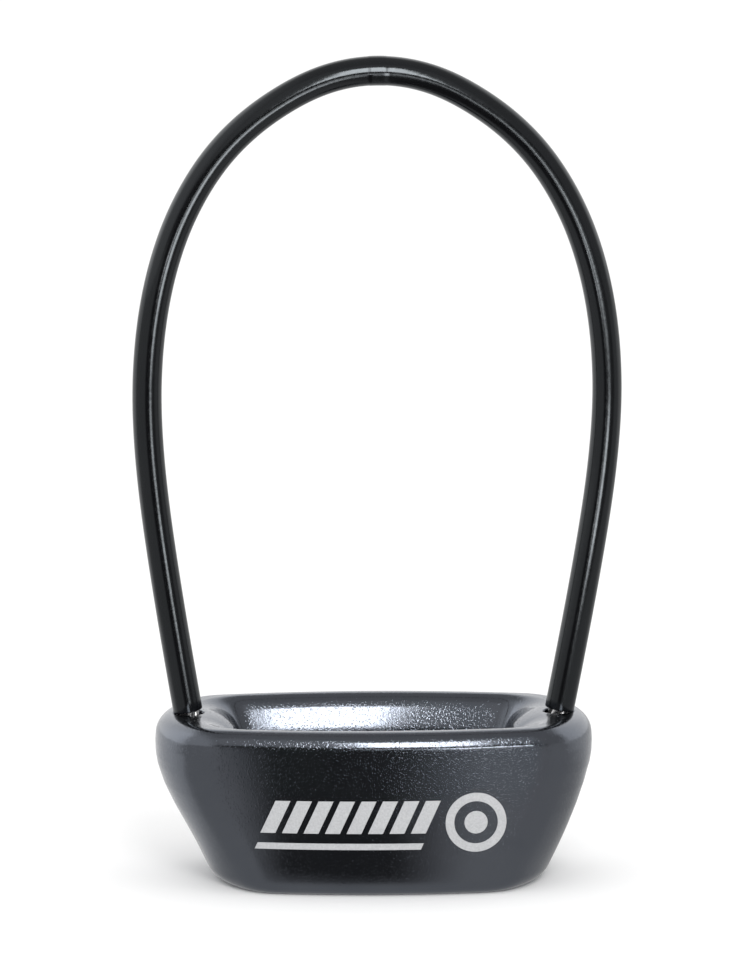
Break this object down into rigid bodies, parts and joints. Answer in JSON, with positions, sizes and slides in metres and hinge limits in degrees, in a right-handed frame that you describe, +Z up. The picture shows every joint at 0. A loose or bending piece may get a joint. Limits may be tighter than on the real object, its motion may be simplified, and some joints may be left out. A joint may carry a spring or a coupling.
{
  "type": "belay device",
  "caption": "Tube-style climbing belay device: a tapered forged body with rope slots divided by a web, and a plastic-coated wire keeper loop standing up from its ends.",
  "frame": {"origin": "centre of the tube's flat foot, on the plane it stands on", "axes": "+X along the tube's long side from the left cable to the right one, -Y out of the printed front wall, +Z up through the rope slots to the crown of the keeper loop"},
  "size_m": [0.0674, 0.0316, 0.1148],
  "materials": {
    "anodised_aluminium": "glossy dark grey anodising over tumbled forged aluminium",
    "cable_jacket": "smooth glossy black plastic",
    "wire_rope": "bare galvanised wire rope",
    "ferrule_steel": "swaged plain steel",
    "print": "thin light grey print"
  },
  "bodies": {
    "tube": {"tube_body": "anodised_aluminium", "left_ferrule": "ferrule_steel", "right_ferrule": "ferrule_steel", "left_rope_end": "wire_rope", "right_rope_end": "wire_rope", "left_flex_core": "wire_rope", "right_flex_core": "wire_rope", "left_flex_jacket": "cable_jacket", "right_flex_jacket": "cable_jacket"},
    "keeper_loop": {"loop_core": "wire_rope", "loop_jacket": "cable_jacket"}
  },
  "joints": [
    {"name": "loop_lean", "type": "hinge", "parent": "tube", "child": "keeper_loop", "pos_m": [0, 0, 0.037], "axis": [1, 0, 0], "range_deg": [-30, 30], "stiffness_Nm_per_rad": 0.25, "deforming": ["left_flex_core", "right_flex_core", "left_flex_jacket", "right_flex_jacket"]}
  ]
}
